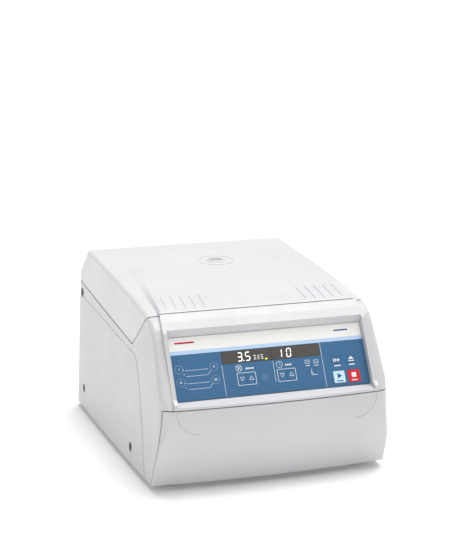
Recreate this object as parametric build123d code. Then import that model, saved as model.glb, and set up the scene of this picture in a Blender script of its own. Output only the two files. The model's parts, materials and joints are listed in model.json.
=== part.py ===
from build123d import *
from math import atan2, cos, degrees, radians, sin, sqrt
import os

# Bench-top laboratory centrifuge with a swing-out rotor.
# Millimetres, +Z up, front towards -Y, origin under the middle of the machine on the bench.

os.makedirs("parts", exist_ok=True)

# ---------------------------------------------------------------- driving dimensions
Y_FRONT = -225.0        # foremost point of the lower front cover
Y_REAR = 225.0          # middle of the rear wall
FOOT_H = 8.0            # the casing hangs this far above the bench
WALL = 2.8              # moulded casing wall
SEAM = 1.8              # visible gap between lid and casing
LOW_SEAM_Z = 113.4      # underside of the fascia
COVER_TOP_Z = 112.2     # top edge of the lower front cover
# the cover wraps round the front corners; its side seam, (y, z) from the top down
COVER_EDGE = [(-211.6, 113.4), (-210.5, 87.0), (-208.0, 69.5), (-204.3, 54.3), (-191.0, 23.4), (-184.0, 2.0)]
COVER_GAP = 2.0

BASE_HALF = 155.5       # casing half width at bench level, at the rear corners
BASE_HALF_FRONT = 159.0
BASE_HALF_MID = 159.5   # and half way along the side, which bows out
TOP_HALF = 146.6        # the sides lean in: half width at TOP_Z
TOP_HALF_MID = 147.0
TOP_Z = 250.0
CORNER_R = 18.0
EDGE_R = 6.0            # rounding along the lid's and the fascia's side edges
FIELD_RISE = 0.5        # raised field on each side
FRONT_BOW = 7.0         # how far the front bows over its width
REAR_BOW = 6.0

SEAM_REAR = (225.0, 190.6)      # side seam (y, z): from the rear...
SEAM_VALLEY = (-78.7, 164.2)    # ...down to the V...
SEAM_NOSE = (-141.0, 214.8)     # ...and up to the lid's nose
LID_BACK = (168.3, 241.7)       # upper rear edge of the lid
LID_TOP = [(36.0, 233.2), (-58.5, 225.6), (-116.0, 218.9), (-141.0, 214.8)]
SHOULDER = [(-153.0, 210.0), (-163.0, 203.0), (-171.0, 192.5)]
FASCIA_FOOT = (-217.5, LOW_SEAM_Z)

# raised middle of the fascia in plan, (x, y): widens towards the front
RIM_PLAN = [(133.0, -90.0), (133.0, -141.0), (136.0, -158.0), (137.4, -176.0), (137.8, -232.0)]
MEMBRANE_TOP = (-165.87, 192.12)  # panel plane, (y, z)
MEMBRANE_FOOT = (-205.0, 120.0)
MEMBRANE_HALF = 131.2
OVERLAY_T = 1.3

AXIS_X = 11.5           # rotor axis, off centre to the right
AXIS_Y = 65.0
BOWL_R = 120.0
BOWL_T = 1.6
BOWL_FLOOR_Z = 62.0
DECK_Z = 150.0
DECK_T = 2.0
ROTOR_Z = 137.0         # height of the bucket trunnions
TRUNNION_R = 50.0       # radius of the bucket pivots
BUCKETS = 4
BUCKET_R = 16.0
BUCKET_BORE = 14.2
BUCKET_ABOVE = 12.0
BUCKET_BELOW = 64.0

PORT_Z = 233.9          # seat of the sight port in the lid
HINGE = (213.0, 191.4)  # lid hinge axis (y, z)
HINGE_R = 8.0
PIN_R = 2.5
RUN = 0.05              # radial running clearance

LOCK_Y = -110.0         # striker blade
LOCK_Z = 178.0          # lock bolt height


# ---------------------------------------------------------------- helpers
def save(shape, node):
    export_step(shape, "parts/" + node + ".step")


def yz_prism(points, half, radii=0.0):
    """Extrude a closed (y, z) outline to +-half along X."""
    outline = FilletPolyline(*points, radius=radii, close=True)
    return extrude(Plane.YZ * make_face(outline), amount=half, both=True)


def block(x0, x1, y0, y1, z0, z1):
    solid = Box(x1 - x0, y1 - y0, z1 - z0)
    return Pos((x0 + x1) / 2, (y0 + y1) / 2, (z0 + z1) / 2) * solid


def rod_z(x, y, z0, z1, radius):
    return Pos(x, y, (z0 + z1) / 2) * Cylinder(radius, z1 - z0)


def rod_x(x0, x1, y, z, radius):
    return Pos((x0 + x1) / 2, y, z) * Rot(0, 90, 0) * Cylinder(radius, x1 - x0)


def rod_y(y0, y1, x, z, radius):
    return Pos(x, (y0 + y1) / 2, z) * Rot(90, 0, 0) * Cylinder(radius, y1 - y0)


def turned(points, x=AXIS_X, y=AXIS_Y):
    """Turn a closed (r, z) outline about the vertical line through (x, y)."""
    face = Plane.XZ * make_face(Polyline(*points, close=True))
    return Pos(x, y, 0) * revolve(face, Axis.Z, 360)


def around(count, radius, start=0.0):
    for i in range(count):
        angle = radians(start + 360.0 * i / count)
        yield AXIS_X + radius * cos(angle), AXIS_Y + radius * sin(angle), degrees(angle)


def both_sides(shape):
    return [shape, mirror(shape, Plane.YZ)]


# ---------------------------------------------------------------- outer form
def outline(z, half_front, half_rear, half_mid, inset):
    """Plan outline at height z: bowed sides, bowed front and rear, rounded corners."""
    fore = half_front - inset
    aft = half_rear - inset
    middle = half_mid - inset
    front = Y_FRONT + inset
    rear = Y_REAR - inset
    edges = [
        ThreePointArc((-fore, front + FRONT_BOW), (0, front), (fore, front + FRONT_BOW)),
        ThreePointArc((fore, front + FRONT_BOW), (middle, -20), (aft, rear - REAR_BOW)),
        ThreePointArc((aft, rear - REAR_BOW), (0, rear), (-aft, rear - REAR_BOW)),
        ThreePointArc((-aft, rear - REAR_BOW), (-middle, -20), (-fore, front + FRONT_BOW)),
    ]
    face = make_face(edges)
    face = fillet(face.vertices(), CORNER_R - inset)
    return Pos(0, 0, z) * face


def plan_form(inset=0.0):
    low = outline(0.0, BASE_HALF_FRONT, BASE_HALF, BASE_HALF_MID, inset)
    high = outline(TOP_Z, TOP_HALF, TOP_HALF, TOP_HALF_MID, inset)
    return loft([low, high], ruled=True)


def upper_form():
    """Everything above the low seam, as one side profile."""
    points = [(230.0, LOW_SEAM_Z), (230.0, 187.0), LID_BACK]
    points += LID_TOP + SHOULDER + [FASCIA_FOOT]
    radii = [0, 0, 6, 200, 300, 60, 30, 30, 15, 14, 0]
    return yz_prism(points, 175.0, radii)


def hood_form():
    """Raised middle of the lid: highest at the nose, fading towards the back."""
    stations = [
        (-200.0, 133.2, 131.4, 177.0, 5.2), (-141.0, 133.2, 131.0, 214.8, 5.2),
        (-116.0, 132.0, 129.0, 218.9, 5.0), (-58.5, 129.0, 122.5, 225.6, 4.2),
        (-10.0, 125.0, 113.0, 229.5, 2.9), (36.0, 120.5, 104.0, 233.2, 1.7),
        (80.0, 114.5, 97.0, 236.0, 0.8), (130.0, 106.0, 92.0, 239.2, 0.1),
    ]
    sections = []
    for y, foot, crest, z, rise in stations:
        points = [(-foot, z - 6), (-foot, z), (-crest, z + rise), (crest, z + rise), (foot, z), (foot, z - 6)]
        wire = make_face(Polyline(*points, close=True))
        sections.append(Pos(0, y, 0) * (Plane.XZ * wire))
    return loft(sections, ruled=True)


def fascia_rim():
    """Raised surround of the control panel, sinking into the pillars at the foot; lip over the low seam."""
    points = [
        (-100.0, 200.0), (-138.0, 220.2), (-146.0, 218.6), (-158.0, 211.8), (-172.0, 200.0),
        (-174.5, 194.0), (-211.5, 124.5), (-226.0, 117.6), (-226.0, LOW_SEAM_Z), (-180.0, LOW_SEAM_Z),
    ]
    rim = yz_prism(points, 140.0, [0, 0, 8, 18, 0, 6, 6, 0, 0, 0])
    plan = RIM_PLAN + [(-x, y) for x, y in reversed(RIM_PLAN)]
    return rim & extrude(make_face(Polyline(*plan, close=True)), amount=300.0)


def lower_form(inset=0.0):
    """Lower body: the front curves under towards the base and bows across its width."""
    radius = 1610.0
    f = Y_FRONT + inset
    front = Spline((f + 0.8, 120.0), (f, 100.0), (f + 4.5, 72.0), (f + 15.5, 38.0), (f + 32.0, 0.0))
    rest = Polyline((f + 32.0, 0.0), (230.0, 0.0), (230.0, 120.0), (f + 0.8, 120.0))
    face = Plane.YZ * make_face([front, rest])
    axis = Axis((0, Y_FRONT + radius, 0), (0, 0, 1))
    return revolve(Rot(0, 0, 0) * face, axis, 14) + mirror(revolve(face, axis, 14), Plane.YZ)


def lid_zone(gap):
    """Region above the V-shaped seam, raised by gap."""
    a, c, d = SEAM_REAR, SEAM_VALLEY, SEAM_NOSE
    slope_rear = (a[1] - c[1]) / (a[0] - c[0])
    slope_nose = (d[1] - c[1]) / (d[0] - c[0])
    lift_rear = gap * sqrt(1 + slope_rear ** 2)
    lift_nose = gap * sqrt(1 + slope_nose ** 2)
    cy = c[0] + (lift_nose - lift_rear) / (slope_rear - slope_nose)
    cz = c[1] + lift_rear + slope_rear * (cy - c[0])
    front = cy - 110.0
    points = [
        (240.0, cz + slope_rear * (240.0 - cy)), (cy, cz),
        (front, cz + slope_nose * (front - cy)), (front, 300.0), (240.0, 300.0),
    ]
    return yz_prism(points, 180.0, [0, 5, 0, 0, 0])


def recess():
    """Window for the control panel: flat floor, steep brow, shallow ledge at the foot."""
    ny, nz = panel_normal()
    t = OVERLAY_T + 0.3
    top = (MEMBRANE_TOP[0] - ny * t, MEMBRANE_TOP[1] - nz * t)
    foot = (MEMBRANE_FOOT[0] - ny * t, MEMBRANE_FOOT[1] - nz * t)
    points = [top, foot, (-228.0, 115.4), (-260.0, 115.4), (-260.0, 214.0), (-172.7, 214.0)]
    return yz_prism(points, MEMBRANE_HALF + 0.8)


# ---------------------------------------------------------------- panel coordinates
def panel_normal():
    dy = MEMBRANE_TOP[0] - MEMBRANE_FOOT[0]
    dz = MEMBRANE_TOP[1] - MEMBRANE_FOOT[1]
    length = sqrt(dy * dy + dz * dz)
    return -dz / length, dy / length


def panel_plane():
    """Local x across the panel, y up its slope, z out of it; origin at the foot."""
    ny, nz = panel_normal()
    return Plane(origin=(0, MEMBRANE_FOOT[0], MEMBRANE_FOOT[1]), x_dir=(1, 0, 0), z_dir=(0, ny, nz))


def on_panel(shape):
    return panel_plane() * shape


def pad(x, s, width, height, radius, low, high):
    """Rounded tile on the panel between two heights along its normal."""
    face = RectangleRounded(width, height, radius)
    tile = extrude(face, amount=high - low)
    return on_panel(Pos(x, s, low) * tile)


def disc(x, s, radius, low, high):
    return on_panel(Pos(x, s, low) * extrude(Circle(radius), amount=high - low))


# ---------------------------------------------------------------- casing
PLAN = plan_form()
PLAN_IN = plan_form(WALL)
HOOD = hood_form() & PLAN


def upper_body():
    """Upper casing with its long side edges rounded."""
    body = upper_form() & PLAN
    edges = [edge for edge in body.edges()
             if abs(edge.center().X) > 140 and edge.center().Z > LOW_SEAM_Z + 2
             and edge.bounding_box().max.Z > LOW_SEAM_Z + 2 and edge.center().Y < 222]
    return fillet(edges, EDGE_R)


def side_field():
    """Raised field on each side, below the lid seam and behind the front corner."""
    points = [(207.0, -5.0), (207.0, 171.0), (-97.0, 154.0), (-116.0, 125.0), (-140.0, 60.0), (-160.0, -5.0)]
    prism = yz_prism(points, 175.0, [0, 12, 22, 60, 80, 0])
    return plan_form(-FIELD_RISE) & prism


BODY = upper_body() + (fascia_rim() & PLAN)
BODY += lower_form() & PLAN & block(-175, 175, -240, 240, 0, LOW_SEAM_Z)


def inner_cavity():
    """Inside of the casing: behind the panel floor, below the seam, inside the walls."""
    ny, nz = panel_normal()
    back = OVERLAY_T + 0.3 + 2.6
    top = (MEMBRANE_TOP[0] - ny * back, MEMBRANE_TOP[1] - nz * back)
    foot = (MEMBRANE_FOOT[0] - ny * back, MEMBRANE_FOOT[1] - nz * back)
    points = [
        (230.0, LOW_SEAM_Z), (230.0, 260.0), (-63.0, 260.0), (SEAM_VALLEY[0] + 6.0, 164.0),
        (SEAM_VALLEY[0] - 1.0, SEAM_VALLEY[1] - 3.6), (-137.0, 207.2), (-148.0, 206.0), (-158.5, 199.0), top,
        foot,
        (-205.0, LOW_SEAM_Z),
    ]
    upper = yz_prism(points, 170.0)
    return (upper + (lower_form(WALL) & block(-170, 170, -240, 240, 0, LOW_SEAM_Z))) & PLAN_IN


CAVITY = inner_cavity()
HINGE_BARREL = rod_x(-170, 170, HINGE[0], HINGE[1], HINGE_R)


def side_screw_sites():
    return [(192.0, 174.0), (168.7, 36.5), (-89.0, 29.0)]


def side_x(y, z):
    """Half width of the casing at (y, z)."""
    share = z / TOP_Z
    base = BASE_HALF_FRONT if y < -20.0 else BASE_HALF
    ends = base + (TOP_HALF - base) * share
    middle = BASE_HALF_MID + (TOP_HALF_MID - BASE_HALF_MID) * share
    run = min(1.0, abs(y + 20.0) / 232.0)
    return middle + (ends - middle) * run * run


def cover_zone(gap):
    """Region in front of the cover's side seam."""
    seam = Spline(*[(y + gap, z) for y, z in COVER_EDGE])
    rest = Polyline(seam @ 1, (-250.0, COVER_EDGE[-1][1]), (-250.0, LOW_SEAM_Z), seam @ 0)
    return extrude(Plane.YZ * make_face([seam, rest]), amount=180.0, both=True)


def housing():
    shell = (BODY + side_field()) - lid_zone(0.0) - CAVITY
    shell -= block(-180, 180, -240, 240, -5, FOOT_H)
    shell -= cover_zone(COVER_GAP)
    shell -= recess()
    shell -= rod_x(-170, 170, HINGE[0], HINGE[1], HINGE_R + 0.7)
    # display window and lock slot
    shell -= pad(3.2, 50.7, 133.4, 16.6, 1.0, -9.0, 3.0)
    shell -= block(-10, 10, LOCK_Y - 7, LOCK_Y + 7, 175, 215)
    # counterbores for the side screws
    for y, z in side_screw_sites():
        x = side_x(y, z)
        for sign in (-1, 1):
            low, high = sorted((sign * (x - 1.2), sign * (x + 4)))
            shell -= rod_x(low, high, y, z, 6.6)
            low, high = sorted((sign * (x - 6), sign * (x + 4)))
            shell -= rod_x(low, high, y, z, 2.6)
    # rear: flat pad with the mains inlet and switch cut-outs, vent slots
    shell += block(-118.0, -54.0, 216.6, 221.2, 27.0, 65.0)
    shell -= block(-118.0, -54.0, 221.2, 230, 27.0, 65.0)
    shell -= block(-109.2, -80.8, 215, 230, 34.0, 58.0)
    shell -= block(-74.2, -59.8, 215, 230, 34.0, 56.0)
    for row in range(7):
        for column in (-1, 0, 1):
            x = column * 52.0 + 30.0
            z = 84.0 + row * 9.0
            shell -= block(x - 21, x + 21, 215, 230, z, z + 3.6)
    return shell


HOUSING = housing()
save(HOUSING, "housing")

cover = (lower_form() & PLAN) - (lower_form(WALL) & PLAN_IN)
cover &= cover_zone(0.0) & block(-180, 180, -240, -150, FOOT_H, COVER_TOP_Z)
# shallow curved lines in the upper corners of the cover
skin = (lower_form() - lower_form(0.35)) & PLAN
for side in (-1, 1):
    ring = Circle(31.0) - Circle(29.8)
    ring &= Pos(-50, -50, 0) * Rectangle(100, 100)
    band = extrude(Plane.XZ * (Pos(0, 0, 0) * ring), amount=260.0)
    band = Pos(-104.0, 0, 110.5) * band
    cover -= skin & (band if side < 0 else mirror(band, Plane.YZ))
save(cover, "lower_front_cover")


# ---------------------------------------------------------------- base
def base_pan():
    outer = plan_form(WALL + 0.5) & block(-180, 180, -186, 240, FOOT_H, 22.0)
    inner = plan_form(WALL + 2.0) & block(-180, 180, -184.5, 240, FOOT_H + 1.5, 30.0)
    pan = outer - inner
    for row in range(6):
        for column in (-1, 1):
            y = 20.0 + row * 14.0
            pan -= block(column * 105 - 22, column * 105 + 22, y, y + 5, 0, 12)
    return pan


PAN = base_pan()
save(PAN, "base_pan")

FOOT_SITES = [(-128, -160), (128, -160), (-128, 190), (128, 190)]
feet = []
for fx, fy in FOOT_SITES:
    foot = Pos(fx, fy, FOOT_H / 2) * Cone(11.0, 14.0, FOOT_H)
    foot += rod_z(fx, fy, FOOT_H, FOOT_H + 1.5, 5.0)
    foot += rod_z(fx, fy, FOOT_H + 1.5, FOOT_H + 4.0, 7.5)
    PAN -= rod_z(fx, fy, FOOT_H - 1, FOOT_H + 2, 5.0)
    feet.append(foot)
save(Compound(children=feet), "rubber_feet")
save(PAN, "base_pan")

screws = []
for y, z in side_screw_sites():
    x = side_x(y, z)
    screw = rod_x(x - 1.2, x + 0.6, y, z, 6.2)
    screw -= rod_x(x - 0.8, x + 2, y, z, 2.4)
    screw += rod_x(x - 5.0, x - 1.2, y, z, 2.5)
    screws += both_sides(screw)
save(Compound(children=screws), "side_screws")


# ---------------------------------------------------------------- rotor chamber
def deck_plate():
    outer = plan_form(WALL + 0.3) & block(-180, 180, -72.0, 210.0, DECK_Z, DECK_Z + DECK_T)
    return outer - rod_z(AXIS_X, AXIS_Y, DECK_Z - 5, DECK_Z + 10, BOWL_R + BOWL_T)


save(deck_plate(), "deck_plate")

rim_z = DECK_Z + DECK_T
bowl = turned([
    (BOWL_R, BOWL_FLOOR_Z + BOWL_T), (BOWL_R + BOWL_T, BOWL_FLOOR_Z + BOWL_T), (BOWL_R + BOWL_T, rim_z),
    (BOWL_R + 6.5, rim_z), (BOWL_R + 6.5, rim_z + 1.4), (BOWL_R, rim_z + 1.4),
])
save(bowl, "chamber_bowl")
bowl_floor = turned([
    (22.0, BOWL_FLOOR_Z), (BOWL_R + BOWL_T, BOWL_FLOOR_Z), (BOWL_R + BOWL_T, BOWL_FLOOR_Z + BOWL_T),
    (22.0, BOWL_FLOOR_Z + BOWL_T),
])
save(bowl_floor, "chamber_floor")

guard = turned([
    (BOWL_R + 2.2, 72.0), (BOWL_R + 5.2, 72.0), (BOWL_R + 5.2, DECK_Z - 0.2), (BOWL_R + 2.2, DECK_Z - 0.2),
])
save(guard, "guard_ring")

gasket = turned([
    (BOWL_R + 0.4, rim_z + 1.4), (BOWL_R + 6.5, rim_z + 1.4), (BOWL_R + 6.5, rim_z), (BOWL_R + 9.2, rim_z),
    (BOWL_R + 9.2, rim_z + 3.2), (BOWL_R + 5.0, rim_z + 7.8), (BOWL_R + 1.6, rim_z + 7.8),
    (BOWL_R + 0.4, rim_z + 6.0),
])
save(gasket, "bowl_gasket")

boot = turned([
    (20.0, BOWL_FLOOR_Z - 2), (26.0, BOWL_FLOOR_Z - 2), (26.0, BOWL_FLOOR_Z - 0.2), (21.9, BOWL_FLOOR_Z - 0.2),
    (21.9, BOWL_FLOOR_Z + 1.8), (24.4, BOWL_FLOOR_Z + 1.8), (24.4, BOWL_FLOOR_Z + 3.5), (17.0, BOWL_FLOOR_Z + 12),
    (17.0, BOWL_FLOOR_Z + 18), (12.0, BOWL_FLOOR_Z + 26), (8.2, BOWL_FLOOR_Z + 26), (8.2, BOWL_FLOOR_Z + 24),
    (11.0, BOWL_FLOOR_Z + 24), (15.0, BOWL_FLOOR_Z + 17), (15.0, BOWL_FLOOR_Z + 11), (20.0, BOWL_FLOOR_Z + 3.5),
])
save(boot, "shaft_boot")

# ---------------------------------------------------------------- drive
PLATE_Z = 22.0
plate = turned([(12.0, PLATE_Z), (74.0, PLATE_Z), (74.0, PLATE_Z + 3), (12.0, PLATE_Z + 3)])
for x, y, angle in around(3, 65.0, 30):
    plate -= rod_z(x, y, PLATE_Z - 1, PLATE_Z + 4, 4.0)
save(plate, "motor_plate")

dampers = []
for x, y, angle in around(3, 65.0, 30):
    damper = turned([
        (0, 9.5), (9.0, 9.5), (10.0, 12.0), (7.0, 15.7), (10.0, 19.5), (9.0, 22.0), (4.0, 22.0), (4.0, 25.0),
        (8.0, 25.0), (8.0, 27.5), (0, 27.5),
    ], x, y)
    dampers.append(damper)
save(Compound(children=dampers), "motor_dampers")

can = turned([
    (12.0, PLATE_Z + 3), (44.0, PLATE_Z + 3), (44.0, 52.0), (40.5, 52.0), (40.5, PLATE_Z + 7), (12.0, PLATE_Z + 7),
])
save(can, "motor_can")
cap = turned([
    (13.0, 57.0), (30.0, 57.0), (34.0, 54.5), (45.0, 54.5), (45.0, 52.0), (30.0, 52.0), (22.0, 49.0), (13.0, 49.0),
])
save(cap, "motor_end_cap")

bearings = []
for low in (PLATE_Z + 0.2, 49.4):
    radius = 12.0 if low < 40 else 13.0
    bearings.append(turned([(6.0, low), (radius, low), (radius, low + 7), (6.0, low + 7)]))
save(Compound(children=bearings), "motor_bearings")

shaft = turned([
    (0, 14.0), (5.95, 14.0), (5.95, 32.0), (7.5, 32.0), (7.5, 48.0), (5.95, 48.0), (5.95, 116.0),
    (7.0, 116.0), (7.0, 118.0), (5.95, 118.0), (5.95, 144.0), (4.0, 144.0), (4.0, 154.0), (0, 154.0),
])
winding = turned([(7.5, 33.0), (36.0, 33.0), (36.0, 47.0), (30.0, 47.0), (30.0, 38.0), (7.5, 38.0)])
save(shaft + winding, "motor_shaft")

# ---------------------------------------------------------------- rotor
SLOT_HALF = 20.5
SLOT_R = 27.0


def rotor_spider():
    hub = turned([(6.0, 118.0), (14.0, 118.0), (17.0, 130.0), (72.0, 131.5), (74.0, 133.0), (74.0, 140.0),
                  (70.0, 141.5), (22.0, 144.0), (20.0, 146.0), (6.0, 146.0)])
    for x, y, angle in around(BUCKETS, 0.0, 45):
        slot = Pos(SLOT_R + 40, 0, 135) * Box(80, 2 * SLOT_HALF, 60)
        hub -= Pos(AXIS_X, AXIS_Y, 0) * Rot(0, 0, angle) * slot
    for i in range(BUCKETS):
        hole = rod_z(58.0, 0.0, 120, 150, 7.0)
        hub -= Pos(AXIS_X, AXIS_Y, 0) * Rot(0, 0, 90.0 * i) * hole
        for side in (-1, 1):
            bore = Pos(TRUNNION_R, side * 23.0, ROTOR_Z) * Rot(90, 0, 0) * Cylinder(3.0, 10.0)
            hub -= Pos(AXIS_X, AXIS_Y, 0) * Rot(0, 0, 45 + 90.0 * i) * bore
    return hub


save(rotor_spider(), "rotor_spider")

trunnions = []
buckets = []
for i in range(BUCKETS):
    place = Pos(AXIS_X, AXIS_Y, 0) * Rot(0, 0, 45 + 90.0 * i)
    for side in (-1, 1):
        pin = Pos(TRUNNION_R, side * 22.4, ROTOR_Z) * Rot(90, 0, 0) * Cylinder(3.0, 9.6)
        trunnions.append(place * pin)
    low = -BUCKET_BELOW
    floor = low + 4.0
    cup = make_face(Polyline(
        (0, low), (8.0, low), (13.5, low + 3.5), (BUCKET_R, low + 9.0), (BUCKET_R, BUCKET_ABOVE - 4),
        (BUCKET_R + 1.4, BUCKET_ABOVE - 4), (BUCKET_R + 1.4, BUCKET_ABOVE), (BUCKET_BORE, BUCKET_ABOVE),
        (BUCKET_BORE, floor + 6), (10.5, floor), (0, floor), close=True))
    bucket = revolve(Plane.XZ * cup, Axis.Z, 360)
    for side in (-1, 1):
        bucket += Pos(0, side * 17.2, 0) * Rot(90, 0, 0) * Cylinder(6.5, 6.0)
    bucket -= Cylinder(BUCKET_BORE, 30)
    for side in (-1, 1):
        bucket -= Pos(0, side * 19.4, 0) * Rot(90, 0, 0) * Cylinder(3.0 + RUN, 4.2)
    bucket = place * (Pos(TRUNNION_R, 0, ROTOR_Z) * bucket)
    save(bucket, "bucket_%d" % (i + 1))
save(Compound(children=trunnions), "trunnion_pins")

nut = Pos(AXIS_X, AXIS_Y, 146.0) * extrude(RegularPolygon(11.0, 6), amount=6.0)
nut += turned([(0, 152.0), (9.5, 152.0), (8.0, 156.5), (0, 156.5)])
nut -= rod_z(AXIS_X, AXIS_Y, 143.0, 154.0, 4.0)
nut -= rod_z(AXIS_X, AXIS_Y, 143.0, 146.0, 6.0)
save(nut, "rotor_nut")

# ---------------------------------------------------------------- sensing and power electronics
sensor = block(AXIS_X - 60, AXIS_X - 46, AXIS_Y - 5, AXIS_Y + 5, 30, 40)
sensor += block(AXIS_X - 60, AXIS_X - 57, AXIS_Y - 5, AXIS_Y + 5, PLATE_Z + 3, 30)
switch = block(AXIS_X + 78, AXIS_X + 90, AXIS_Y - 10, AXIS_Y + 10, 9.5, 28)
switch += block(AXIS_X + 76, AXIS_X + 78, AXIS_Y - 8, AXIS_Y + 6, 22, 24)
save(Compound(children=[sensor, switch]), "rotor_sensors")

board = block(-128, 92, -176, -84, 18, 19.6)
for x in (-122, 86):
    for y in (-170, -90):
        board += rod_z(x, y, 9.5, 18, 3.0)
save(board, "power_board")
capacitors = [rod_z(-60 + 26 * i, -150, 19.6, 54, 11.0) for i in range(4)]
save(Compound(children=capacitors), "capacitors")
core = block(-122, -76, -128, -90, 19.6, 52)
coil = block(-118, -80, -134, -84, 27, 45)
save(core + coil, "transformer")
sink = block(30, 84, -112, -108, 19.6, 62)
for i in range(9):
    sink += block(31 + 6.0 * i, 33 + 6.0 * i, -108, -92, 24, 62)
save(sink, "heat_sink")

pcb = on_panel(Pos(0, 40, -16.0) * Box(220, 66, 1.6))
for x in (-104, 104):
    for s in (13, 67):
        pcb += disc(x, s, 3.0, -15.2, -4.2)
save(pcb, "display_board")
modules = [pad(x, 50.7, 58, 14.4, 0.5, -15.2, -4.4) for x in (-30.0, 37.5)]
save(Compound(children=modules), "display_modules")
window = pad(3.2, 50.7, 133.0, 16.2, 0.8, -4.0, -OVERLAY_T) + pad(3.2, 50.7, 133.0, 16.2, 0.8, -OVERLAY_T, 0.1)
save(window, "display_window")

# ---------------------------------------------------------------- control panel
TRAVEL = 0.5
KEY_LOW = -0.7
KEY_HIGH = 0.25
ROUND_KEYS = {
    "key_program_1": (-121.0, 41.0, 4.4), "key_program_2": (-75.1, 41.0, 4.4),
    "key_program_3": (-121.0, 24.2, 4.4), "key_program_4": (-75.1, 24.2, 4.4),
    "key_select": (-10.1, 20.9, 3.2),
}
TILE_KEYS = {
    "key_speed_down": (-40.2, 21.5, 11.6, 15.0), "key_speed_up": (-28.0, 21.5, 11.6, 15.0),
    "key_time_down": (13.9, 21.5, 11.6, 15.0), "key_time_up": (26.1, 21.5, 11.6, 15.0),
    "key_start": (90.7, 12.3, 15.4, 15.4), "key_stop": (111.0, 12.0, 16.4, 16.0),
    "key_pulse": (90.5, 34.5, 12.0, 9.0), "key_open": (110.6, 34.5, 12.0, 9.0),
}
length = sqrt((MEMBRANE_TOP[0] - MEMBRANE_FOOT[0]) ** 2 + (MEMBRANE_TOP[1] - MEMBRANE_FOOT[1]) ** 2)
overlay = pad(0, length / 2, 2 * MEMBRANE_HALF, length, 1.2, -OVERLAY_T - 0.3, 0.0)
overlay -= pad(3.2, 50.7, 133.4, 16.6, 1.0, -5, 3)
KEY_GAP = 0.15
for name, (x, s, radius) in ROUND_KEYS.items():
    overlay -= disc(x, s, radius + KEY_GAP, -OVERLAY_T, 3)
    save(disc(x, s, radius, KEY_LOW, KEY_HIGH), name)
for name, (x, s, width, height) in TILE_KEYS.items():
    overlay -= pad(x, s, width + 2 * KEY_GAP, height + 2 * KEY_GAP, 1.0 + KEY_GAP, -OVERLAY_T, 3)
    save(pad(x, s, width, height, 1.0, KEY_LOW, KEY_HIGH), name)
save(overlay, "control_panel_overlay")

# ---------------------------------------------------------------- lid lock
frame = block(-16, 16, -152, -118, 163, 165)
cheek = yz_prism([(-152, 165), (-118, 165), (-118, 191.4), (-123, 195.4), (-152, 195.4)], 0.9)
frame += Pos(-15.1, 0, 0) * cheek + Pos(15.1, 0, 0) * cheek
frame += block(-14.2, 14.2, -122, -118, 165, 190) - rod_y(-125, -110, 0, LOCK_Z, 3.0 + RUN)
save(frame, "lock_bracket")
solenoid = rod_y(-151, -124, 0, LOCK_Z, 11.5) - rod_y(-160, -120, 0, LOCK_Z, 3.5)
solenoid += block(-12.5, 12.5, -151, -148, 165, 190) - rod_y(-160, -120, 0, LOCK_Z, 3.5)
save(solenoid, "lock_solenoid")
BOLT_TIP = LOCK_Y - 3.4
bolt = rod_y(-150, BOLT_TIP - 1.0, 0, LOCK_Z, 3.0)
bolt += Pos(0, BOLT_TIP - 0.5, LOCK_Z) * Rot(-90, 0, 0) * Cone(3.0, 2.2, 1.0)
save(bolt, "lock_bolt")

# ---------------------------------------------------------------- mains inlet and power switch
inlet = block(-109.0, -81.0, 200, 221.2, 34.2, 57.8) - block(-106.0, -84.0, 205, 230, 38.0, 54.0)
inlet += block(-114.0, -76.8, 221.2, 223.4, 30.5, 61.5) - block(-106.0, -84.0, 200, 230, 38.0, 54.0)
for x, z in ((-101.5, 43.0), (-95.0, 46.5), (-88.5, 43.0)):
    inlet += block(x - 1.0, x + 1.0, 205, 219, z - 2.0, z + 2.0)
save(inlet, "power_inlet")
bezel = block(-74.0, -60.0, 206, 221.2, 34.2, 55.8) - block(-72.4, -61.6, 200, 230, 36.0, 54.0)
bezel += block(-76.4, -57.6, 221.2, 222.2, 32.0, 58.0) - block(-72.4, -61.6, 200, 230, 36.0, 54.0)
bezel += rod_x(-73.0, -61.0, 216.4, 45.0, 1.5)
save(bezel, "switch_bezel")
rocker = yz_prism([(210.0, 39.0), (219.4, 37.2), (222.4, 37.2), (221.0, 45.0), (222.4, 52.8), (219.4, 52.8),
                   (210.0, 51.0), (207.4, 45.0)], 5.0)
rocker = Pos(-67.0, 0, 0) * rocker - rod_x(-80, -50, 216.4, 45.0, 1.5 + RUN)
save(rocker, "power_rocker")

# ---------------------------------------------------------------- hinge
EAR_IN = 112.0
EAR_OUT = 116.0
EAR_R = 4.9
ear = yz_prism([
    (186.0, 160.0), (217.9, 160.0), (217.9, HINGE[1]), (208.1, HINGE[1]), (206.0, 182.0), (186.0, 170.0),
], (EAR_OUT - EAR_IN) / 2, [0, 2, 0, 0, 4, 3])
ear += rod_x(-(EAR_OUT - EAR_IN) / 2, (EAR_OUT - EAR_IN) / 2, HINGE[0], HINGE[1], EAR_R)
ear = Pos((EAR_IN + EAR_OUT) / 2, 0, 0) * ear
ear += block(EAR_OUT, 146.4, 184.0, 203.0, 160.0, 162.5)
ear += block(143.9, 146.4, 184.0, 200.0, 162.5, 182.0)
ear += rod_x(146.4, 146.6, 192.0, 174.0, 6.0)
ear -= rod_x(143.0, 160.0, 192.0, 174.0, 2.5)
ear -= rod_x(EAR_IN - 1, EAR_OUT + 1, HINGE[0], HINGE[1], PIN_R)
brackets = both_sides(ear)
pins = both_sides(rod_x(95.0, 133.0, HINGE[0], HINGE[1], PIN_R))
save(Compound(children=brackets), "hinge_brackets")
save(Compound(children=pins), "hinge_pins")


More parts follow.
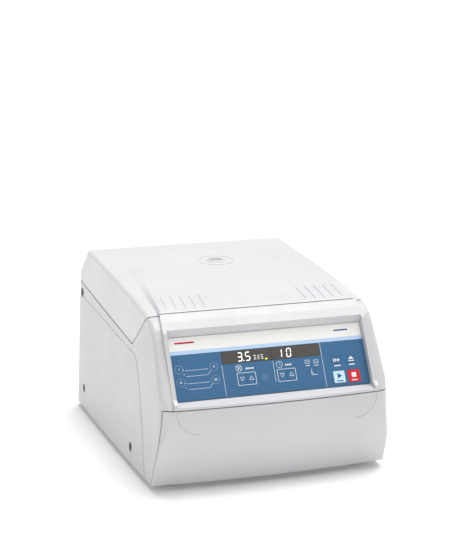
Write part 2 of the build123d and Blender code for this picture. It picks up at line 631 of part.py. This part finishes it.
# ---------------------------------------------------------------- lid
def rear_lean():
    """Unit vectors down the lid's leaning rear face and out of it."""
    dy = SEAM_REAR[0] - LID_BACK[0]
    dz = SEAM_REAR[1] - LID_BACK[1]
    span = sqrt(dy * dy + dz * dz)
    return (dy / span, dz / span), (-dz / span, dy / span)


def lid_cavity():
    down, out = rear_lean()
    back = [(SEAM_REAR[0] - WALL * out[0] + t * down[0], SEAM_REAR[1] - WALL * out[1] + t * down[1])
            for t in (30.0, -73.0)]
    points = back + [
        (36.0, 230.2), (-58.5, 222.6), (-116.0, 215.9),
        (-134.5, 213.0), (-136.2, 206.0), (-78.0, 155.0), (-40.0, 150.0),
    ]
    return yz_prism(points, 170.0) & PLAN_IN


def lid_shell():
    shell = ((BODY + HOOD) & lid_zone(SEAM)) - lid_cavity()
    down, out = rear_lean()
    corner = [(HINGE[0] + u * out[0] + v * down[0], HINGE[1] + u * out[1] + v * down[1])
              for u, v in ((-12.0, 0.0), (20.0, 0.0), (20.0, 30.0), (-12.0, 30.0))]
    shell -= yz_prism(corner, 180.0)
    shell += HINGE_BARREL & PLAN
    for side in (-1, 1):
        # each bracket ear turns in a slot of the barrel, on a pin in the barrel's bore
        low, high = sorted((side * (EAR_IN - 0.5), side * (EAR_OUT + 0.5)))
        shell -= rod_x(low, high, HINGE[0], HINGE[1], EAR_R + 0.5)
        shell -= block(low, high, 195, HINGE[0], 165, HINGE[1] + 1.0)
        shell -= block(low, high, HINGE[0], 240, 165, HINGE[1] + 5.3)
        low, high = sorted((side * 93.0, side * 135.0))
        shell -= rod_x(low, high, HINGE[0], HINGE[1], PIN_R + RUN)
    # sight port through the top skin with a shallow ring round it, and finger grooves near the nose
    grip = yz_prism([
        (-26.5, 221.4), (-22.0, 220.75), (-6.0, 223.25), (22.0, 226.1), (26.0, 227.4), (26.0, 240.0), (-26.5, 240.0),
    ], 2.3)
    shell -= rod_z(AXIS_X, AXIS_Y, 225, 250, 10.0)
    shell -= rod_z(AXIS_X, AXIS_Y, PORT_Z + 0.4, 250, 12.7)
    halo = Cylinder(25.4, 6.0) - Cylinder(24.2, 6.0)
    shell -= Pos(AXIS_X, AXIS_Y, 236.2 + 3.0 - 0.35) * Rot(2.5, 0, 0) * halo
    for side in (-1, 1):
        for i in range(5):
            place = Pos(side * (69.0 + 12.75 * i), -110.0, 0) * Rot(0, 0, -4.75 + side * 1.25)
            shell -= place * grip
    return shell


LID = lid_shell()
save(LID, "lid_shell")

slope = degrees(atan2(SEAM_REAR[1] - SEAM_VALLEY[1], SEAM_REAR[0] - SEAM_VALLEY[0]))
liner = yz_prism([
    (198.0, 193.2), (-74.6, 170.2), (-130.5, 212.0), (-130.5, 208.9), (-75.8, 167.4), (198.0, 190.6),
], 170.0) & plan_form(WALL + 0.3)
liner -= rod_z(AXIS_X, AXIS_Y, 150, 230, 14.0)
liner -= block(-9, 9, LOCK_Y - 6, LOCK_Y + 3, 180, 215)
save(liner, "lid_liner")


def liner_z(y):
    return 167.4 + (y + 75.8) * (190.6 - 167.4) / (198.0 + 75.8)


seal_disc = turned([(10.2, 160.4), (128.0, 160.4), (128.0, 162.4), (10.2, 162.4)])
for x, y, angle in around(6, 96.0, 30):
    seal_disc += rod_z(x, y, 162.4, liner_z(y) - 0.6, 5.0)
save(seal_disc, "lid_seal_disc")

ring = turned([
    (8.6, 162.5), (9.9, 162.5), (9.9, PORT_Z + 0.4), (12.6, PORT_Z + 0.4), (12.6, PORT_Z + 1.8), (11.6, PORT_Z + 3.2),
    (10.2, PORT_Z + 3.6), (10.2, PORT_Z + 1.6), (8.6, PORT_Z + 1.6),
])
save(ring, "viewport_ring")
lens = turned([(0, PORT_Z + 1.6), (10.1, PORT_Z + 1.6), (10.1, PORT_Z + 3.0), (0, PORT_Z + 3.8)])
save(lens, "viewport_lens")

striker = block(-7, 7, LOCK_Y - 2, LOCK_Y + 2, 171, 197.0)
striker += block(-8.5, 8.5, LOCK_Y - 2, LOCK_Y + 2, 197.0, 215.0)
striker -= rod_y(LOCK_Y - 5, LOCK_Y + 5, 0, LOCK_Z, 3.7)
save(striker, "lid_striker")
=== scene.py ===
"""Laboratory centrifuge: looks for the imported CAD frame. Metres, +Z up, front towards -Y."""
import json
import math

import bmesh
import bpy
from mathutils import Matrix, Vector


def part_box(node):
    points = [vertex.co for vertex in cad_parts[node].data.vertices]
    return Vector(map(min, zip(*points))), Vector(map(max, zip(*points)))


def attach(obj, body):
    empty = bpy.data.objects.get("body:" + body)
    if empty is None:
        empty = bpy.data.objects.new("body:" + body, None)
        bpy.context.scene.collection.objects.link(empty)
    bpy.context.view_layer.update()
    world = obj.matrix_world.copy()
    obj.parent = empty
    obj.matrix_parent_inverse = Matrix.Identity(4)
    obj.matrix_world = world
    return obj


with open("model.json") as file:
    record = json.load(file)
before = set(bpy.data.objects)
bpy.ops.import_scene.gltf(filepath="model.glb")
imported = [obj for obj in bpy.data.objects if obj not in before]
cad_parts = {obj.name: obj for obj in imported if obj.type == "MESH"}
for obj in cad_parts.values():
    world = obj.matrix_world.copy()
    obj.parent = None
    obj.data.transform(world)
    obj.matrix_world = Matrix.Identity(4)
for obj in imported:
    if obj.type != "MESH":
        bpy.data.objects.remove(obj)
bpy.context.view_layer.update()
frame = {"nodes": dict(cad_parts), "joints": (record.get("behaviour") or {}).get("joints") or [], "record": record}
NODES = frame["nodes"]
MM = 0.001

# ------------------------------------------------------------------ measures taken from the frame
JOINTS = {joint["name"]: joint for joint in frame["joints"]}
PANEL_NORMAL = -Vector(JOINTS["key_start_press"]["axis"]).normalized()
PANEL_UP = Vector((0, PANEL_NORMAL.z, -PANEL_NORMAL.y))
FILM = 1.6 * MM                 # thickness of the control panel film
_low, _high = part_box("control_panel_overlay")
PANEL_FOOT = Vector((0, _low.y, _low.z + FILM * PANEL_NORMAL.z))
PANEL_LENGTH = (_high.z - PANEL_FOOT.z) / PANEL_UP.z
BLUE_TOP = 59.5 * MM            # slope distances where the printed bands change
PALE_TOP = 64.3 * MM
KEY_PROUD = 0.25                # millimetres; print on a key starts this far out

# ------------------------------------------------------------------ colours (linear)
# The lid and casing are one plastic; WHITE_LID is set about 9 % lighter than CASING as painted light, for the lid
# top that faces the overhead light.
WHITE_LID = (0.655, 0.655, 0.675)
CASING = (0.60, 0.597, 0.615)
BLUE = (0.046, 0.150, 0.300)
BLUE_KEY = (0.043, 0.142, 0.290)
PALE_BLUE = (0.52, 0.68, 0.90)
CREAM = (0.90, 0.90, 0.87)
START_BLUE = (0.62, 0.84, 1.0)
STOP_RED = (0.72, 0.012, 0.024)
PRINT_WHITE = (0.82, 0.86, 0.92)
PRINT_DARK = (0.03, 0.04, 0.06)
DISPLAY = (0.085, 0.078, 0.072)


# ------------------------------------------------------------------ material helpers
def new_material(name):
    material = bpy.data.materials.new(name)
    material.use_nodes = True
    tree = material.node_tree
    return material, tree, tree.nodes["Principled BSDF"]


def link(tree, a, output, b, socket):
    tree.links.new(a.outputs[output], b.inputs[socket])


def object_noise(tree, scale, detail=3.0, stretch=(1, 1, 1)):
    """Noise in object space, so that it is fixed to the piece."""
    coords = tree.nodes.new("ShaderNodeTexCoord")
    mapping = tree.nodes.new("ShaderNodeMapping")
    mapping.inputs["Scale"].default_value = stretch
    noise = tree.nodes.new("ShaderNodeTexNoise")
    noise.inputs["Scale"].default_value = scale
    noise.inputs["Detail"].default_value = detail
    link(tree, coords, "Object", mapping, "Vector")
    link(tree, mapping, "Vector", noise, "Vector")
    return noise


def ramp(tree, source, output, stops):
    node = tree.nodes.new("ShaderNodeValToRGB")
    elements = node.color_ramp.elements
    while len(elements) < len(stops):
        elements.new(0.5)
    for element, (place, value) in zip(elements, stops):
        element.position = place
        element.color = (*value, 1) if isinstance(value, tuple) else (value, value, value, 1)
    link(tree, source, output, node, "Fac")
    return node


def shade(color, factor):
    return tuple(min(1.0, c * factor) for c in color)


def bump_into(tree, shader, source, output, strength, distance, edge=0.0):
    bump = tree.nodes.new("ShaderNodeBump")
    bump.inputs["Strength"].default_value = strength
    bump.inputs["Distance"].default_value = distance
    link(tree, source, output, bump, "Height")
    if edge:
        bevel = tree.nodes.new("ShaderNodeBevel")
        bevel.samples = 4
        bevel.inputs["Radius"].default_value = edge
        link(tree, bevel, "Normal", bump, "Normal")
    link(tree, bump, "Normal", shader, "Normal")


def moulded(name, color, rough=(0.36, 0.46), grain=1500.0, depth=0.10, edge=0.0006, spread=0.025):
    """Moulded plastic: faint mottling, fine spark-eroded grain, softly rounded edges."""
    material, tree, shader = new_material(name)
    cloud = object_noise(tree, 14.0, 4.0)
    tone = ramp(tree, cloud, "Fac", [(0.3, shade(color, 1 - spread)), (0.7, shade(color, 1 + spread))])
    link(tree, tone, "Color", shader, "Base Color")
    wear = object_noise(tree, 60.0, 3.0)
    gloss = ramp(tree, wear, "Fac", [(0.35, rough[0]), (0.7, rough[1])])
    link(tree, gloss, "Color", shader, "Roughness")
    fine = object_noise(tree, grain, 2.0)
    bump_into(tree, shader, fine, "Fac", depth, 0.0002, edge)
    shader.inputs["Specular IOR Level"].default_value = 0.45
    return material


def metal(name, color, rough=(0.22, 0.38), stretch=(1, 1, 60), scale=90.0, depth=0.08):
    """Metal with directional finishing marks."""
    material, tree, shader = new_material(name)
    marks = object_noise(tree, scale, 5.0, stretch)
    tone = ramp(tree, marks, "Fac", [(0.3, shade(color, 0.86)), (0.7, shade(color, 1.08))])
    link(tree, tone, "Color", shader, "Base Color")
    gloss = ramp(tree, marks, "Fac", [(0.3, rough[0]), (0.7, rough[1])])
    link(tree, gloss, "Color", shader, "Roughness")
    bump_into(tree, shader, marks, "Fac", depth, 0.0002, 0.0004)
    shader.inputs["Metallic"].default_value = 1.0
    return material


def rubber(name):
    material, tree, shader = new_material(name)
    dust = object_noise(tree, 120.0, 5.0)
    tone = ramp(tree, dust, "Fac", [(0.35, (0.018, 0.018, 0.02)), (0.75, (0.05, 0.05, 0.052))])
    link(tree, tone, "Color", shader, "Base Color")
    gloss = ramp(tree, dust, "Fac", [(0.3, 0.62), (0.7, 0.85)])
    link(tree, gloss, "Color", shader, "Roughness")
    fine = object_noise(tree, 900.0, 3.0)
    bump_into(tree, shader, fine, "Fac", 0.3, 0.0003, 0.0005)
    return material


def circuit_board(name):
    """Green solder mask with copper tracks under it."""
    material, tree, shader = new_material(name)
    coords = tree.nodes.new("ShaderNodeTexCoord")
    tracks = tree.nodes.new("ShaderNodeTexBrick")
    tracks.inputs["Scale"].default_value = 120.0
    tracks.inputs["Mortar Size"].default_value = 0.03
    tracks.inputs["Color1"].default_value = (0.012, 0.10, 0.04, 1)
    tracks.inputs["Color2"].default_value = (0.015, 0.13, 0.05, 1)
    tracks.inputs["Mortar"].default_value = (0.03, 0.22, 0.08, 1)
    link(tree, coords, "Object", tracks, "Vector")
    link(tree, tracks, "Color", shader, "Base Color")
    gloss = ramp(tree, object_noise(tree, 200.0), "Fac", [(0.3, 0.3), (0.7, 0.45)])
    link(tree, gloss, "Color", shader, "Roughness")
    bump_into(tree, shader, tracks, "Fac", 0.2, 0.0001)
    return material


def printed_film(name, blue, pale, cream):
    """Satin film with three printed bands up the slope of the panel."""
    material, tree, shader = new_material(name)
    coords = tree.nodes.new("ShaderNodeTexCoord")
    offset = tree.nodes.new("ShaderNodeVectorMath")
    offset.operation = "SUBTRACT"
    offset.inputs[1].default_value = PANEL_FOOT
    slope = tree.nodes.new("ShaderNodeVectorMath")
    slope.operation = "DOT_PRODUCT"
    slope.inputs[1].default_value = PANEL_UP
    share = tree.nodes.new("ShaderNodeMath")
    share.operation = "DIVIDE"
    share.inputs[1].default_value = PANEL_LENGTH
    link(tree, coords, "Object", offset, 0)
    tree.links.new(offset.outputs["Vector"], slope.inputs[0])
    tree.links.new(slope.outputs["Value"], share.inputs[0])
    bands = ramp(tree, share, "Value", [(0.0, blue), (BLUE_TOP / PANEL_LENGTH, pale),
                                        (PALE_TOP / PANEL_LENGTH, cream)])
    bands.color_ramp.interpolation = "CONSTANT"
    mottle = ramp(tree, object_noise(tree, 35.0, 3.0), "Fac", [(0.3, 0.965), (0.7, 1.0)])
    mix = tree.nodes.new("ShaderNodeMixRGB")
    mix.blend_type = "MULTIPLY"
    mix.inputs["Fac"].default_value = 1.0
    link(tree, bands, "Color", mix, "Color1")
    link(tree, mottle, "Color", mix, "Color2")
    link(tree, mix, "Color", shader, "Base Color")
    gloss = ramp(tree, object_noise(tree, 90.0, 2.0), "Fac", [(0.3, 0.28), (0.7, 0.36)])
    link(tree, gloss, "Color", shader, "Roughness")
    bump_into(tree, shader, object_noise(tree, 2600.0, 2.0), "Fac", 0.08, 0.0001, 0.0003)
    return material


def ink(name, color, glow=0.0):
    """Screen-printed ink or a lit segment."""
    material, tree, shader = new_material(name)
    tone = ramp(tree, object_noise(tree, 400.0, 2.0), "Fac",
                [(0.3, shade(color, 0.93)), (0.7, shade(color, 1.04))])
    link(tree, tone, "Color", shader, "Base Color")
    gloss = ramp(tree, object_noise(tree, 300.0, 2.0), "Fac", [(0.3, 0.34), (0.7, 0.44)])
    link(tree, gloss, "Color", shader, "Roughness")
    if glow:
        shader.inputs["Emission Color"].default_value = (*color, 1)
        shader.inputs["Emission Strength"].default_value = glow
    return material


def clear_plastic(name):
    material, tree, shader = new_material(name)
    tone = ramp(tree, object_noise(tree, 150.0, 3.0), "Fac",
                [(0.3, (0.55, 0.56, 0.57)), (0.7, (0.66, 0.67, 0.68))])
    link(tree, tone, "Color", shader, "Base Color")
    gloss = ramp(tree, object_noise(tree, 500.0, 2.0), "Fac", [(0.3, 0.12), (0.7, 0.2)])
    link(tree, gloss, "Color", shader, "Roughness")
    shader.inputs["Transmission Weight"].default_value = 0.25
    shader.inputs["IOR"].default_value = 1.49
    bump_into(tree, shader, object_noise(tree, 700.0, 2.0), "Fac", 0.05, 0.0001, 0.0004)
    return material


MATERIALS = {
    "casing": moulded("casing_plastic", CASING),
    "lid": moulded("lid_plastic", WHITE_LID, rough=(0.34, 0.44)),
    "liner": moulded("liner_plastic", (0.50, 0.51, 0.52), rough=(0.4, 0.55)),
    "steel": metal("brushed_steel", (0.55, 0.56, 0.57)),
    "bright_steel": metal("bright_steel", (0.70, 0.70, 0.71), rough=(0.14, 0.26), scale=200.0),
    "aluminium": metal("machined_aluminium", (0.68, 0.69, 0.70), rough=(0.25, 0.42), stretch=(1, 1, 1)),
    "bucket": metal("anodised_bucket", (0.40, 0.43, 0.47), rough=(0.34, 0.5), stretch=(1, 1, 8)),
    "rubber": rubber("black_rubber"),
    "board": circuit_board("circuit_board"),
    "black_plastic": moulded("black_plastic", (0.022, 0.022, 0.025), spread=0.15),
    "component": moulded("component_case", (0.10, 0.10, 0.13), spread=0.12),
    "window": moulded("tinted_window", DISPLAY, rough=(0.12, 0.2), depth=0.02, spread=0.06),
    "clear": clear_plastic("sight_port_lens"),
    "ring": moulded("sight_port_ring", (0.70, 0.71, 0.72)),
    "panel": printed_film("panel_film", BLUE, PALE_BLUE, CREAM),
    "key_blue": ink("key_film_blue", BLUE_KEY),
    "key_light": ink("key_film_start", START_BLUE),
    "key_red": ink("key_film_stop", STOP_RED),
}
for subpart in frame["record"]["subparts"]:
    node = NODES[subpart["node"]]
    node.data.materials.clear()
    node.data.materials.append(MATERIALS[subpart["material_slot"]])

PRINT = {
    "white": ink("print_white", PRINT_WHITE),
    # Soft blue: on the panel it paints highlight rings round the embossed keys; on the select key it is a small
    # ring mark.
    "soft": ink("soft_blue_ink_and_painted_key_rim_highlight", (0.30, 0.45, 0.68)),
    "dark": ink("print_dark", PRINT_DARK),
    "red": ink("print_red", (0.60, 0.02, 0.05)),
    "navy": ink("print_navy", (0.03, 0.10, 0.26)),
    "lit": ink("lit_segment", (0.95, 0.97, 0.93), glow=0.9),
    "lit_green": ink("lit_dot", (0.62, 0.85, 0.10), glow=0.9),
}


# ------------------------------------------------------------------ printed artwork
def panel_point(x, s, h=0.0):
    """Point on the panel: x across, s up the slope, h out of it, all in millimetres."""
    return PANEL_FOOT + Vector((x * MM, 0, 0)) + PANEL_UP * (s * MM) + PANEL_NORMAL * (h * MM)


class Print:
    """Collects flat shapes into one thin piece of ink on the panel."""

    def __init__(self, name, body, material, base=0.0, thickness=0.12):
        self.name, self.body, self.material = name, body, material
        self.base, self.top = base, base + thickness
        self.mesh = bmesh.new()

    def polygon(self, points):
        """A filled convex outline."""
        low = [self.mesh.verts.new(panel_point(x, s, self.base)) for x, s in points]
        high = [self.mesh.verts.new(panel_point(x, s, self.top)) for x, s in points]
        count = len(points)
        self.mesh.faces.new(high)
        self.mesh.faces.new(low[::-1])
        for i in range(count):
            j = (i + 1) % count
            self.mesh.faces.new((low[i], low[j], high[j], high[i]))

    def band(self, outer, inner):
        """A closed band between two outlines of equal length."""
        count = len(outer)
        rings = [[self.mesh.verts.new(panel_point(x, s, h)) for x, s in ring]
                 for ring, h in ((outer, self.base), (outer, self.top),
                                 (inner, self.top), (inner, self.base))]
        for i in range(count):
            j = (i + 1) % count
            for a in range(4):
                b = (a + 1) % 4
                self.mesh.faces.new((rings[a][i], rings[a][j], rings[b][j], rings[b][i]))

    def line(self, x0, s0, x1, s1, width=0.5):
        run = Vector((x1 - x0, s1 - s0)).normalized() * (width / 2)
        side = Vector((-run.y, run.x))
        self.polygon([(x0 - side.x, s0 - side.y), (x1 - side.x, s1 - side.y),
                      (x1 + side.x, s1 + side.y), (x0 + side.x, s0 + side.y)])

    def rectangle(self, x, s, width, height, radius=0.3):
        self.polygon(rounded(x, s, width, height, radius))

    def frame(self, x, s, width, height, line=0.5, radius=1.0):
        self.band(rounded(x, s, width, height, radius),
                  rounded(x, s, width - 2 * line, height - 2 * line, max(0.1, radius - line)))

    def disc(self, x, s, radius, sides=28):
        self.polygon(ring_points(x, s, radius, sides))

    def ring(self, x, s, radius, line=0.5, sides=36):
        self.band(ring_points(x, s, radius, sides), ring_points(x, s, radius - line, sides))

    def arc(self, x, s, radius, start, end, line=0.5, steps=12):
        angles = [math.radians(start + (end - start) * i / steps) for i in range(steps + 1)]
        for a, b in zip(angles, angles[1:]):
            self.polygon([(x + radius * math.cos(a), s + radius * math.sin(a)),
                          (x + radius * math.cos(b), s + radius * math.sin(b)),
                          (x + (radius - line) * math.cos(b), s + (radius - line) * math.sin(b)),
                          (x + (radius - line) * math.cos(a), s + (radius - line) * math.sin(a))])

    def triangle(self, x, s, size, up=True, hollow=True, line=0.5):
        def corners(r):
            turn = 90 if up else -90
            return [(x + r * math.cos(math.radians(turn + 120 * i)),
                     s + r * math.sin(math.radians(turn + 120 * i))) for i in range(3)]
        if hollow:
            self.band(corners(size), corners(size - 2 * line))
        else:
            self.polygon(corners(size))

    def finish(self):
        bmesh.ops.recalc_face_normals(self.mesh, faces=self.mesh.faces)
        return piece(self.name, self.mesh, self.material, self.body)


def ring_points(x, s, radius, sides):
    turns = [2 * math.pi * i / sides for i in range(sides)]
    return [(x + radius * math.cos(turn), s + radius * math.sin(turn)) for turn in turns]


def rounded(x, s, width, height, radius, steps=4):
    points = []
    for cx, cs, start in ((1, 1, 0), (-1, 1, 90), (-1, -1, 180), (1, -1, 270)):
        for i in range(steps + 1):
            angle = math.radians(start + 90 * i / steps)
            points.append((x + cx * (width / 2 - radius) + radius * math.cos(angle),
                           s + cs * (height / 2 - radius) + radius * math.sin(angle)))
    return points


def piece(name, mesh, material, body):
    """Turn a bmesh into a piece that rides on a CAD body."""
    data = bpy.data.meshes.new(name)
    mesh.to_mesh(data)
    mesh.free()
    made = bpy.data.objects.new(name, data)
    bpy.context.scene.collection.objects.link(made)
    data.materials.append(material)
    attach(made, body)
    return made


# lit bars of a seven-segment digit: top, upper right, lower right, bottom, lower left, upper left, middle
SEGMENTS = {
    "0": (0, 1, 2, 3, 4, 5), "1": (1, 2), "3": (0, 1, 2, 3, 6), "5": (0, 2, 3, 5, 6),
}


def digit(target, value, x, s, width=5.4, height=10.6, line=1.1, lean=0.08):
    """Seven-segment digit with its lower left corner at (x, s)."""
    half = height / 2
    bars = [
        ((0, height), (width, height)), ((width, height), (width, half)), ((width, half), (width, 0)),
        ((0, 0), (width, 0)), ((0, half), (0, 0)), ((0, height), (0, half)), ((0, half), (width, half)),
    ]
    for index in SEGMENTS[value]:
        (x0, y0), (x1, y1) = bars[index]
        run = Vector((x1 - x0, y1 - y0)).normalized() * 0.55
        target.line(x + x0 + run.x + lean * y0, s + y0 + run.y, x + x1 - run.x + lean * y1,
                    s + y1 - run.y, line)


def display():
    lit = Print("display_digits", "base", PRINT["lit"], base=0.1)
    digit(lit, "3", -42.2, 44.9)
    lit.rectangle(-34.6, 45.3, 1.4, 1.4, 0.5)
    digit(lit, "5", -31.6, 44.9)
    digit(lit, "1", 11.6, 44.9)
    digit(lit, "0", 24.0, 44.9)
    for row in range(3):
        for column in range(3):
            lit.rectangle(-19.0 + 4.8 * column, 50.4 - 2.3 * row, 3.2 - 0.9 * ((row + column) % 2), 0.5, 0.2)
    lit.finish()
    dot = Print("display_status_dot", "base", PRINT["lit_green"], base=0.1)
    dot.rectangle(-4.1, 44.9, 3.2, 1.7, 0.6)
    dot.finish()


def display_gap():
    """Fine joint between the two display panes."""
    joint = Print("display_joint", "base", PRINT["dark"], base=0.1)
    joint.line(3.8, 42.9, 3.8, 58.5, 0.5)
    joint.finish()


PROGRAM_KEYS = ((-121.0, 41.0), (-75.1, 41.0), (-121.0, 24.2), (-75.1, 24.2))
SELECT_KEY = (-10.1, 20.9)


def program_lines(target):
    """Two pairs of leader lines between the program keys."""
    for s in (41.0, 24.2):
        target.line(-113.5, s - 2.2, -83.0, s - 2.2, 0.4)
        target.line(-112.5, s - 9.6, -84.5, s - 9.6, 0.4)
        target.line(-84.6, s - 9.7, -79.4, s - 4.4, 0.4)
        for low in (s - 1.2, s - 7.0):
            target.rectangle(-115.4, low, 0.7, 1.6, 0.3)


def panel_print():
    white = Print("panel_print_white", "base", PRINT["white"])
    for x, low, high in ((-64.6, 1.0, 41.4), (4.0, 14.0, 41.4), (71.2, 1.0, 59.0)):
        white.line(x, low, x, high, 0.45)
    for x in (-34.1, 20.0):
        white.frame(x, 21.5, 25.2, 16.4, 0.8, 1.2)
    rotor_icon(white, -42.7, 35.8)
    clock_icon(white, 12.0, 35.8)
    for x, count in ((-33.0, 5), (20.5, 4)):
        for i in range(count):
            white.rectangle(x + 2.3 * i, 34.6, 1.5, 2.4, 0.3)
    for x, s, turn in ((50.3, 35.9, 0), (62.0, 35.3, 1)):
        white.frame(x, s, 6.6, 4.8, 0.45, 0.6)
        white.line(x - 2.2, s - 1.2 + 2.4 * turn, x + 2.2, s + 1.2 - 2.4 * turn, 0.4)
        white.rectangle(x, s - 5.0, 5.6, 0.8, 0.3)
    white.arc(59.5, 23.6, 5.6, 150, 290, 0.5)
    white.line(53.9, 23.6, 53.9, 18.2, 0.5)
    white.line(53.9, 18.2, 61.2, 18.2, 0.5)
    for x, width in ((90.5, 9.0), (110.6, 8.0)):
        white.rectangle(x, 27.2, width, 1.5, 0.4)
    program_lines(white)
    white.finish()
    # Soft blue rings round the program and select keys: painted highlight standing in for the light on the
    # embossed key rims.
    soft = Print("panel_key_rims_painted_highlight", "base", PRINT["soft"])
    for x, s in PROGRAM_KEYS:
        soft.ring(x, s, 5.3, 0.45)
    soft.ring(*SELECT_KEY, 4.0, 0.4)
    soft.finish()


def rotor_icon(target, x, s):
    target.ring(x, s, 4.4, 0.5)
    target.disc(x, s, 1.1)
    for i in range(4):
        angle = math.radians(45 + 90 * i)
        target.disc(x + 2.6 * math.cos(angle), s + 2.6 * math.sin(angle), 0.75, 14)


def clock_icon(target, x, s):
    target.ring(x, s, 4.4, 0.5)
    target.line(x, s, x, s + 3.0, 0.5)
    target.line(x, s, x + 2.2, s - 0.6, 0.5)


def key_print(name, key, ink_name, draw):
    target = Print(name, key + "_body", PRINT[ink_name], base=KEY_PROUD)
    draw(target)
    target.finish()


def key_prints():
    for key, x, up in (("key_speed_down", -40.2, False), ("key_speed_up", -28.0, True),
                       ("key_time_down", 13.9, False), ("key_time_up", 26.1, True)):
        key_print(key + "_mark", key, "white",
                  lambda t, x=x, up=up: t.triangle(x, 21.2 if up else 22.2, 3.7, up))
    key_print("key_start_mark", "key_start", "navy", draw_start)
    key_print("key_stop_mark", "key_stop", "white", draw_stop)
    key_print("key_pulse_mark", "key_pulse", "white", draw_pulse)
    key_print("key_open_mark", "key_open", "white", draw_open)
    key_print("key_select_mark", "key_select", "soft", lambda t: t.ring(*SELECT_KEY, 1.9, 0.35, 20))
    for number, (x, s) in enumerate(PROGRAM_KEYS, 1):
        key_print("key_program_%d_mark" % number, "key_program_%d" % number, "white",
                  lambda t, x=x, s=s, n=number: draw_tally(t, x, s, n))


def draw_tally(target, x, s, count):
    """As many short strokes as the key's number."""
    for i in range(count):
        target.rectangle(x + 1.1 * (i - (count - 1) / 2), s, 0.5, 3.0, 0.2)


def draw_start(target):
    target.polygon([(88.4, 9.9), (94.4, 13.6), (88.4, 17.3)])
    target.rectangle(90.7, 6.9, 9.0, 1.3, 0.4)


def draw_stop(target):
    target.rectangle(111.0, 13.4, 6.2, 6.2, 0.5)
    target.rectangle(111.0, 6.6, 8.4, 1.3, 0.4)


def draw_pulse(target):
    for shift in (-2.6, 1.2):
        target.polygon([(90.5 + shift, 32.2), (90.5 + shift + 3.4, 34.5), (90.5 + shift, 36.8)])
    target.rectangle(86.2, 34.5, 1.0, 4.6, 0.2)


def draw_open(target):
    target.polygon([(106.6, 34.2), (114.6, 34.2), (110.6, 38.2)])
    target.rectangle(110.6, 32.0, 8.0, 1.3, 0.3)


def cream_band_marks():
    """Plain coloured bars where a maker's and a model's marks would be."""
    red = Print("panel_bar_red", "base", PRINT["red"])
    red.rectangle(-109.0, 74.6, 26.0, 2.2, 1.0)
    red.finish()
    navy = Print("panel_bar_navy", "base", PRINT["navy"])
    navy.rectangle(103.0, 73.8, 20.0, 1.8, 0.8)
    navy.finish()


display()
display_gap()
panel_print()
key_prints()
cream_band_marks()


# ------------------------------------------------------------------ stage, light, camera
def floor_material():
    material, tree, shader = new_material("studio_floor")
    tone = ramp(tree, object_noise(tree, 3.0, 2.0), "Fac", [(0.3, 0.90), (0.7, 0.92)])
    link(tree, tone, "Color", shader, "Base Color")
    shader.inputs["Roughness"].default_value = 0.75
    shader.inputs["Specular IOR Level"].default_value = 0.1
    shader.inputs["Emission Color"].default_value = (1, 1, 1, 1)
    shader.inputs["Emission Strength"].default_value = 0.12
    return material


def studio():
    mesh = bpy.data.meshes.new("floor")
    size = 40.0
    corners = [(-size, -size, 0), (size, -size, 0), (size, size, 0), (-size, size, 0)]
    mesh.from_pydata(corners, [], [(0, 1, 2, 3)])
    floor = bpy.data.objects.new("floor", mesh)
    bpy.context.scene.collection.objects.link(floor)
    mesh.materials.append(floor_material())
    world = bpy.data.worlds.new("studio")
    world.use_nodes = True
    background = world.node_tree.nodes["Background"]
    background.inputs["Color"].default_value = (1.0, 1.0, 1.0, 1)
    background.inputs["Strength"].default_value = 0.6
    bpy.context.scene.world = world
    key = bpy.data.lights.new("overhead", "SUN")
    key.energy = 2.6
    key.angle = math.radians(40)
    lamp = bpy.data.objects.new("overhead", key)
    lamp.rotation_mode = "QUATERNION"
    lamp.rotation_quaternion = Vector((-0.22, -0.12, -1.0)).to_track_quat("-Z", "Y")
    bpy.context.scene.collection.objects.link(lamp)


def camera():
    data = bpy.data.cameras.new("camera")
    data.lens = 106.6
    data.sensor_width = 36.0
    made = bpy.data.objects.new("camera", data)
    made.location = (-0.7102, -2.0821, 0.7191)
    made.rotation_mode = "QUATERNION"
    made.rotation_quaternion = Vector((0.3192, 0.9220, -0.2193)).to_track_quat("-Z", "Y")
    bpy.context.scene.collection.objects.link(made)
    bpy.context.scene.camera = made


studio()
camera()
bpy.context.scene.view_settings.view_transform = "Standard"
